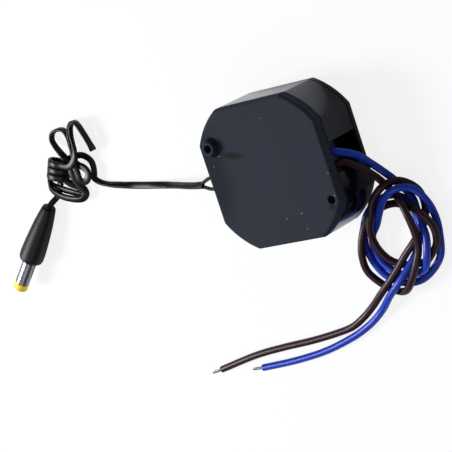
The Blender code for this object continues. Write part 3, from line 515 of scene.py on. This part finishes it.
def makeFrontCover():
    seam, top, under = case["frontSeam"], case["depth"], case["depth"] - case["plate"]
    cover = caseBlock("frontCover", 0, seam, top, False)
    roundEdges(cover, case["frontRim"], 6, rimAt(top))
    roundEdges(cover, case["seamEdge"], 2, rimAt(seam))
    fillet, edge, base = case["collarFillet"], case["collarEdge"], case["collarBase"]
    profile = [(-case["join"], base + fillet)]
    for step in range(1, 9):
        angle = math.radians(90 * step / 8)
        profile.append((fillet * (1 - math.cos(angle)), base + fillet * (1 - math.sin(angle))))
    for step in range(6):
        angle = math.radians(90 * step / 5)
        profile.append((case["collarHeight"] - edge * (1 - math.sin(angle)),
                        case["collarTop"] - edge * (1 - math.cos(angle))))
    collar = lathe("collar", profile, 96)
    collar.location = (case["collarHole"][0] * mm, case["collarHole"][1] * mm, top * mm)
    cutWith(cover, bakePlace(collar), "UNION")
    # each hole has a small rounded mouth
    for (x, y), mouth in zip(holes, (top + case["collarHeight"], top)):
        edge, radius = case["holeEdge"], case["holeRadius"]
        profile = [(seam - 5, radius), (mouth - edge, radius)]
        for step in range(1, 6):
            angle = math.radians(80 * step / 5)
            profile.append((mouth - edge * (1 - math.sin(angle)), radius + edge * (1 - math.cos(angle))))
        profile.append((mouth + 0.5, profile[-1][1] + 0.2))
        cutter = lathe("drill", profile, 64)
        cutter.location = (x * mm, y * mm, 0)
        cutWith(cover, bakePlace(cutter))
    addLip(cover, seam - case["lipReach"], seam + case["join"], seam - 3, under)
    for x, y in holes:
        pad = rod("pad", case["pillar"], x, y, seam, under + case["join"])
        cutWith(pad, rod("drill", case["holeRadius"], x, y, seam - 1, top))
        cutWith(cover, pad, "UNION")
    return evenShade(cover)


def makeHousingBody():
    low, high = case["backSeam"] + case["clearance"], case["frontSeam"] - case["clearance"]
    body = caseBlock("housingBody", 0, low, high, True)
    mouth = case["across"] / 2
    # the upright edges at the two pockets' mouths
    roundEdges(body, case["pocketEdge"], 3, lambda edge: (
        abs(edge.verts[0].co.z - edge.verts[1].co.z) > 5 * mm
        and all(abs(abs(v.co.x) - mouth * mm) < 1e-6 and abs(v.co.y) < 6 * mm for v in edge.verts)))
    for z in (low, high):
        roundEdges(body, case["seamEdge"], 2, rimAt(z))
    cutWith(body, caseBlock("inside", case["wall"], low - 1, high + 1, True))
    for x, y in holes:
        pillar = rod("pillar", case["pillar"], x, y, low, high)
        cutWith(pillar, caseBlock("limit", case["wall"] / 2, low - 1, high + 1, True), "INTERSECT")
        cutWith(body, pillar, "UNION")
        outer = math.copysign(mouth - case["wall"] / 2, x)
        cutWith(body, box("web", (min(x, outer), y - case["web"] / 2, low),
                          (max(x, outer), y + case["web"] / 2, high)), "UNION")
    drill(body, low - 1, high + 1)
    floorX = mouth - case["pocketDepth"]
    exits = [(floorX, mains[colour]["exitY"], mains["hole"]) for colour in ("blue", "brown")]
    exits += [(-floorX, y, lead["coreHole"]) for y in lead["coreExits"]]
    for x, y, radius in exits:
        hole = rod("wire hole", radius, 0, 0, -4, 4)
        hole.rotation_euler.y = math.radians(90)
        hole.location = (x * mm, y * mm, mains["exitZ"] * mm)
        cutWith(body, bakePlace(hole))
    return evenShade(body)


def makeBackCover():
    seam = case["backSeam"]
    cover = caseBlock("backCover", 0, 0, seam, False)
    roundEdges(cover, case["backRim"], 4, rimAt(0))
    roundEdges(cover, case["seamEdge"], 2, rimAt(seam))
    addLip(cover, seam - case["join"], seam + case["lipReach"], case["plate"], seam + 3)
    for x, y in holes:
        cutWith(cover, rod("pad", case["pillar"], x, y, case["plate"] - case["join"], seam), "UNION")
    drill(cover, -5, seam + 5)
    return evenShade(cover)


plug = {
    "tail": (-119.5, 1.6), "turn": 226.7, "tilt": 4, "sides": 96,
    "grip": 25, "barrel": 14, "radius": 2.75, "wall": 0.35, "seat": 4, "collar": 3.0,
    "contact": 1.45, "contactBore": 1.05, "hole": 1.25, "clearance": 0.3,
    # part of the grip's length, then its radius in mm
    "shape": ((0, 2.1), (0.012, 2.5), (0.035, 2.7), (0.08, 2.9), (0.18, 3.3), (0.33, 3.8), (0.5, 4.2),
              (0.7, 4.6), (0.86, 4.8), (0.95, 4.75), (0.985, 4.5), (1, 4.1)),
    # the yellow tip's rounded end: distance from the end, then from its side
    "tipEdge": ((0.35, 0), (0.1, 0.12), (0, 0.35)),
}


def layAlongPlug(obj):
    # tail first, then the way the barrel points, a little nose up because the grip is widest at its mouth
    turn, tilt = math.radians(plug["turn"]), math.radians(plug["tilt"])
    heading = Vector((math.cos(turn) * math.cos(tilt), math.sin(turn) * math.cos(tilt), math.sin(tilt)))
    height = max(r * math.cos(tilt) - part * plug["grip"] * math.sin(tilt) for part, r in plug["shape"])
    obj.rotation_mode = "QUATERNION"
    obj.rotation_quaternion = heading.to_track_quat("Z", "Y")
    obj.location = Vector((*plug["tail"], height)) * mm
    return bakePlace(obj)


def makePlug():
    grip, tip, gap = plug["grip"], plug["grip"] + plug["barrel"], plug["clearance"]
    seat, radius = grip - plug["seat"], plug["radius"]
    shoulder = tip - plug["collar"]
    body = lathe("plugGrip", [(part * grip, r) for part, r in plug["shape"]], plug["sides"])
    cutWith(body, rod("socket", radius + gap, 0, 0, seat, grip + 1, plug["sides"]))
    low, high = seat + gap, shoulder - gap
    sleeve = rod("plugBarrel", radius, 0, 0, low, high, plug["sides"])
    cutWith(sleeve, rod("bore", radius - plug["wall"], 0, 0, low - 1, high + 1, plug["sides"]))
    neck = radius - plug["wall"] - gap
    end = [(tip - back, radius - inwards) for back, inwards in plug["tipEdge"]]
    ring = lathe("plugTip", [(low, neck), (shoulder, neck), (shoulder, radius), *end], plug["sides"])
    cutWith(ring, rod("bore", plug["contact"] + gap, 0, 0, low - 1, tip - plug["collar"] / 2, plug["sides"]))
    cutWith(ring, rod("mouth", plug["hole"], 0, 0, tip - 2, tip + 1, plug["sides"]))
    high = tip - plug["collar"] / 2 - gap
    contact = rod("plugContact", plug["contact"], 0, 0, low, high, plug["sides"])
    cutWith(contact, rod("bore", plug["contactBore"], 0, 0, low - 1, high + 1, plug["sides"]))
    return [evenShade(layAlongPlug(obj), 50) for obj in (body, sleeve, ring, contact)]


def leadCore(name, y, side):
    # one round core of the output lead, from its pad under the board to the fork
    z = mains["exitZ"]
    forkX, forkY, forkZ = lead["fork"]
    route = [(-14, y, z), (-20, y, z), (-26, y, z - 0.6), (-32.5, y - 0.4, z - 2.9),
             (forkX, forkY + side * lead["coresApart"] / 2, forkZ)]
    points = alongRoute(route, lead["coreSpacing"] * mm)[0]
    core = roundCord(name, points, lead["thick"] * mm)
    pick(core)
    bpy.ops.object.convert(target="MESH")
    return bpy.context.object


frontCover = makeFrontCover()
housingBody = makeHousingBody()
backCover = makeBackCover()
print("case made")
grip, barrel, plugTip, plugContact = makePlug()
cores = [leadCore(name, y, side) for name, y, side in
         zip(("leadCorePositive", "leadCoreNegative"), lead["coreExits"], (1, -1))]
print("plug and cores made")

brownWire, brownTip = mainsWire("brown")
blueWire, blueTip = mainsWire("blue")
leadPiece = flatLead()
print("cords laid")


def grained(name, code, roughness, size, depth, shift=0.06, metallic=0, gloss=0.5):
    # a colour with fine grain of a real size and depth in mm, which also moves its tone a little
    material, tree, shader = newMaterial(name)
    place = addNode(tree, "ShaderNodeTexCoord")
    grain = addNode(tree, "ShaderNodeTexNoise", values={"Scale": 1 / (size * mm), "Detail": 3},
                    links={"Vector": place.outputs["Object"]})
    tone = addNode(tree, "ShaderNodeMapRange",
                   values={"From Min": 0.3, "From Max": 0.7, "To Min": 1 - shift, "To Max": 1 + shift},
                   links={"Value": grain.outputs["Fac"]})
    colour = addNode(tree, "ShaderNodeMix", {"data_type": "RGBA", "blend_type": "MULTIPLY"},
                     {"Factor": 1, "A": hexToLinear(code)}, {"B": tone.outputs["Result"]})
    bump = addNode(tree, "ShaderNodeBump", values={"Strength": 1, "Distance": depth * mm},
                   links={"Height": grain.outputs["Fac"]})
    tree.links.new(colour.outputs["Result"], shader.inputs["Base Color"])
    tree.links.new(bump.outputs["Normal"], shader.inputs["Normal"])
    shader.inputs["Roughness"].default_value = roughness
    shader.inputs["Metallic"].default_value = metallic
    shader.inputs["Specular IOR Level"].default_value = gloss
    return material, tree, shader, colour


def overlay(tree, shader, below, code, mask):
    # one more colour over the others where the mask is white
    mix = addNode(tree, "ShaderNodeMix", {"data_type": "RGBA"}, {"B": hexToLinear(code)},
                  {"Factor": mask, "A": below})
    tree.links.new(mix.outputs["Result"], shader.inputs["Base Color"])
    return mix.outputs["Result"]


faceFinish = {
    "colour": "#2a2f39", "roughness": 0.8, "gloss": 0.1,
    "grain": 0.4, "depth": 0.02, "shift": 0.10,            # mm, mm and share of the tone
    "cloud": 14, "cloudColour": "#282d32", "cloudStrength": 0.35,
    "dustApart": 4.2, "dustColour": "#a9adb2", "dustStrength": 0.8,
}
marksAndPaintedShade = {
    # middle and half size in mm, turn in degrees, colour, strength
    # a dark olive streak running to the right from beside the collar
    "oliveStreak": ((-12.2, 8.6), (5.4, 1.6), -12, "#171b15", 0.9),
    # a small dark brownish spot just below the plain hole
    "brownSpot": ((21.2, -15.4), (1.5, 1.4), 0, "#1f1519", 0.85),
    # painted shade: a dark streak just below the collar, where the collar's shade falls
    "paintedCollarShade": ((-18.9, 9.2), (3.4, 1.0), -20, "#20232a", 0.7),
    # painted shade: the left part of the face darkened, in place of the light falling off there
    "paintedLeftShade": ((-24, 3), (11, 22), 0, "#14161c", 0.65),
}


def texturedAbs():
    # moulded ABS from a spark-eroded tool: a dull blue-black with a fine grain, dust, two dark marks, and painted
    # shade below the collar and over the left part of the face
    facts = faceFinish
    material, tree, shader, colour = grained("spark-eroded ABS", facts["colour"], facts["roughness"],
                                             facts["grain"], facts["depth"], facts["shift"],
                                             gloss=facts["gloss"])
    place = addNode(tree, "ShaderNodeTexCoord")
    cloud = addNode(tree, "ShaderNodeTexNoise", values={"Scale": 1 / (facts["cloud"] * mm), "Detail": 2},
                    links={"Vector": place.outputs["Object"]})
    shade = addNode(tree, "ShaderNodeMapRange",
                    values={"From Min": 0.35, "From Max": 0.65, "To Min": 0,
                            "To Max": facts["cloudStrength"]},
                    links={"Value": cloud.outputs["Fac"]})
    top = overlay(tree, shader, colour.outputs["Result"], facts["cloudColour"], shade.outputs["Result"])
    # each mark, and each patch of painted shade, darkens the colour inside a soft oval
    for middle, half, turned, code, strength in marksAndPaintedShade.values():
        moved = addNode(tree, "ShaderNodeMapping", {"vector_type": "TEXTURE"},
                        {"Location": (middle[0] * mm, middle[1] * mm, case["depth"] * mm),
                         "Rotation": (0, 0, math.radians(turned)),
                         "Scale": (half[0] * mm, half[1] * mm, 3 * mm)},
                        {"Vector": place.outputs["Object"]})
        away = addNode(tree, "ShaderNodeVectorMath", {"operation": "LENGTH"}, None,
                       {"Vector": moved.outputs["Vector"]})
        mask = addNode(tree, "ShaderNodeMapRange", {"interpolation_type": "SMOOTHSTEP"},
                       {"From Min": 0.3, "From Max": 1.1, "To Min": strength, "To Max": 0},
                       {"Value": away.outputs["Value"]})
        top = overlay(tree, shader, top, code, mask.outputs["Result"])
    # specks of dust about half a millimetre across, drawn coarser than they are so that they show
    specks = addNode(tree, "ShaderNodeTexVoronoi",
                     values={"Scale": 1 / (facts["dustApart"] * mm), "Randomness": 1},
                     links={"Vector": place.outputs["Object"]})
    near = addNode(tree, "ShaderNodeMapRange",
                   values={"From Min": 0.035, "From Max": 0.06, "To Min": facts["dustStrength"], "To Max": 0},
                   links={"Value": specks.outputs["Distance"]})
    overlay(tree, shader, top, facts["dustColour"], near.outputs["Result"])
    return material


def glossAbs():
    # ABS from a polished tool: nearly black, with reflections that grow strong at a slant
    material, _, shader, _ = grained("polished ABS", "#0b0c12", 0.15, 6, 0.003, 0.05)
    shader.inputs["IOR"].default_value = 1.42
    return material


def metal(name, code, roughness, size, depth):
    return grained(name, code, roughness, size, depth, 0.04, 1)[0]


def plastic(name, code, roughness, size, depth, gloss=0.5):
    return grained(name, code, roughness, size, depth, 0.05, 0, gloss)[0]


faceAbs = texturedAbs()
wallAbs = glossAbs()
# insulation that is extruded smooth, with a soft sheen
bluePvc = plastic("blue PVC", "#1738ac", 0.35, 1.5, 0.001, 0.28)
brownPvc = plastic("brown PVC", "#2c161c", 0.38, 1.5, 0.001, 0.22)
leadPvc = plastic("flexible black PVC", "#05060b", 0.38, 1.2, 0.001, 0.2)  # soft twin cord, half gloss
gripPvc = plastic("moulded PVC", "#060608", 0.48, 0.5, 0.002, 0.2)         # overmoulded grip, nearly dull
yellowPom = plastic("yellow POM", "#e8cc3c", 0.5, 0.6, 0.005, 0.25)        # waxy acetal, warm yellow
nickel = metal("nickel plate", "#77777b", 0.3, 0.8, 0.0002)                # worn plating, grey at its sides
tinned = metal("tinned copper", "#757575", 0.42, 0.3, 0.01)                # solder over twisted strands

inside = {
    # node: material's name, colour, roughness, grain size and depth in mm
    "circuit_board": ("FR4 with solder mask", "#1f5c35", 0.35, 2.5, 0.004),
    "fuse_resistor": ("green lacquer", "#3f7d58", 0.4, 0.8, 0.01),
    "input_choke": ("ferrite", "#2c2c2f", 0.7, 0.3, 0.02),
    "output_choke": ("ferrite", "#2c2c2f", 0.7, 0.3, 0.02),
    "transformer_core": ("ferrite", "#2c2c2f", 0.7, 0.3, 0.02),
    "x_capacitor": ("polyester film case", "#d9b24a", 0.4, 0.6, 0.01),
    "bridge_rectifier": ("moulded epoxy", "#202023", 0.55, 0.2, 0.01),
    "switching_chip": ("moulded epoxy", "#202023", 0.55, 0.2, 0.01),
    "optocoupler": ("moulded epoxy", "#202023", 0.55, 0.2, 0.01),
    "output_diode": ("moulded epoxy", "#202023", 0.55, 0.2, 0.01),
    "input_capacitor": ("PET shrink sleeve", "#1c2745", 0.25, 1.0, 0.004),
    "output_capacitor_a": ("PET shrink sleeve", "#1c2745", 0.25, 1.0, 0.004),
    "output_capacitor_b": ("PET shrink sleeve", "#1c2745", 0.25, 1.0, 0.004),
    "transformer_bobbin": ("phenolic bobbin", "#1b1a1a", 0.5, 0.4, 0.01),
    "transformer_winding": ("polyester tape", "#d6a93b", 0.3, 1.2, 0.006),
    "y_capacitor": ("blue epoxy dip", "#2a5aa0", 0.35, 1.0, 0.02),
}
made = {}
for node, facts in inside.items():
    if facts[0] not in made:
        made[facts[0]] = plastic(*facts)
    dress(node, made[facts[0]])

mount(brownWire, brownPvc, "brown_insulation", "mains_wire_brown")
mount(blueWire, bluePvc, "blue_insulation", "mains_wire_blue")
mount(leadPiece, leadPvc, "lead_plastic", "dc_lead", "dc_lead_bundle", "dc_lead_tail")
mount(frontCover, faceAbs, "face_plastic", "front_cover")
mount(housingBody, wallAbs, "case_plastic", "housing_body")
mount(backCover, wallAbs, "case_plastic", "back_cover")
for core, name in zip(cores, ("dc_leg_positive", "dc_leg_negative")):
    mount(core, leadPvc, "lead_plastic", name)
mount(grip, gripPvc, "grip_plastic", "plug_body")
mount(barrel, nickel, "nickel_plate", "plug_sleeve")
mount(plugTip, yellowPom, "yellow_plastic", "plug_insulator")
mount(plugContact, nickel, "nickel_plate", "plug_contact")
mount(blueTip, tinned, "tinned_copper", "blue_wire_tip")
mount(brownTip, tinned, "tinned_copper", "brown_wire_tip")
print("materials assigned")


studio = {
    # the key comes from the left, so the case's right side stands over its own shadow
    "whiteToCamera": 0.84, "whiteToMirrors": 0.05,
    "key": {"from": (-0.76, 0.02, 0.55), "away": 0.95, "size": 0.3, "watts": 11.5, "code": "#fdfdff"},
    "top": {"from": (0, -0.52, 0.85), "away": 1.0, "size": 0.6, "watts": 2.2, "code": "#f6f8ff"},
    "sky": 0.26, "horizon": 0.04, "skyTint": (0.93, 0.96, 1, 1), "skyFade": (0.15, 0.8),
    "floor": 3,                                # metres across
}


def litPaper():
    # seamless white paper: full white to the camera, partly to reflections, and it keeps the soft shadows
    material, tree, shader = newMaterial("white paper")
    shader.inputs["Roughness"].default_value = 0.9
    shader.inputs["Specular IOR Level"].default_value = 0.1
    shader.inputs["Base Color"].default_value = hexToLinear("#eef0f4")
    rays = addNode(tree, "ShaderNodeLightPath")
    seen = addNode(tree, "ShaderNodeMath", {"operation": "MULTIPLY"}, {1: studio["whiteToCamera"]},
                   {0: rays.outputs["Is Camera Ray"]})
    mirrored = addNode(tree, "ShaderNodeMath", {"operation": "MAXIMUM"}, None,
                       {0: rays.outputs["Is Glossy Ray"], 1: rays.outputs["Is Transmission Ray"]})
    share = addNode(tree, "ShaderNodeMath", {"operation": "MULTIPLY_ADD"}, {1: studio["whiteToMirrors"]},
                    {0: mirrored.outputs[0], 2: seen.outputs[0]})
    white = addNode(tree, "ShaderNodeEmission", values={"Color": (1, 1, 1, 1), "Strength": 1})
    mix = addNode(tree, "ShaderNodeMixShader", links={0: share.outputs[0], 1: shader.outputs["BSDF"],
                                                      2: white.outputs["Emission"]})
    tree.links.new(mix.outputs["Shader"], tree.nodes["Material Output"].inputs["Surface"])
    return material


def softbox(name):
    facts = studio[name]
    lamp = bpy.data.lights.new(name, "AREA")
    lamp.shape = "SQUARE"
    lamp.size = facts["size"]
    lamp.energy = facts["watts"]
    lamp.color = hexToLinear(facts["code"])[:3]
    obj = bpy.data.objects.new(name, lamp)
    aim = Vector(facts["from"]).normalized()
    obj.location = aim * facts["away"]
    obj.rotation_euler = aim.to_track_quat("Z", "Y").to_euler()
    bpy.context.scene.collection.objects.link(obj)


deselectAll()
bpy.ops.mesh.primitive_plane_add(size=studio["floor"], location=(0, 0, 0))
floor = bpy.context.object
floor.name = "floor"
floor.data.materials.append(litPaper())
softbox("key")
softbox("top")

world = bpy.data.worlds.new("studio")
bpy.context.scene.world = world
world.use_nodes = True
tree = world.node_tree
aimed = addNode(tree, "ShaderNodeTexCoord")
heights = addNode(tree, "ShaderNodeSeparateXYZ", links={"Vector": aimed.outputs["Generated"]})
fadeLow, fadeHigh = studio["skyFade"]
fade = addNode(tree, "ShaderNodeMapRange",
               values={"From Min": fadeLow, "From Max": fadeHigh, "To Min": studio["horizon"],
                       "To Max": studio["sky"]}, links={"Value": heights.outputs["Z"]})
tree.nodes["Background"].inputs["Color"].default_value = studio["skyTint"]
tree.links.new(fade.outputs["Result"], tree.nodes["Background"].inputs["Strength"])
print("studio lit")

bpy.context.scene.view_settings.view_transform = "Standard"
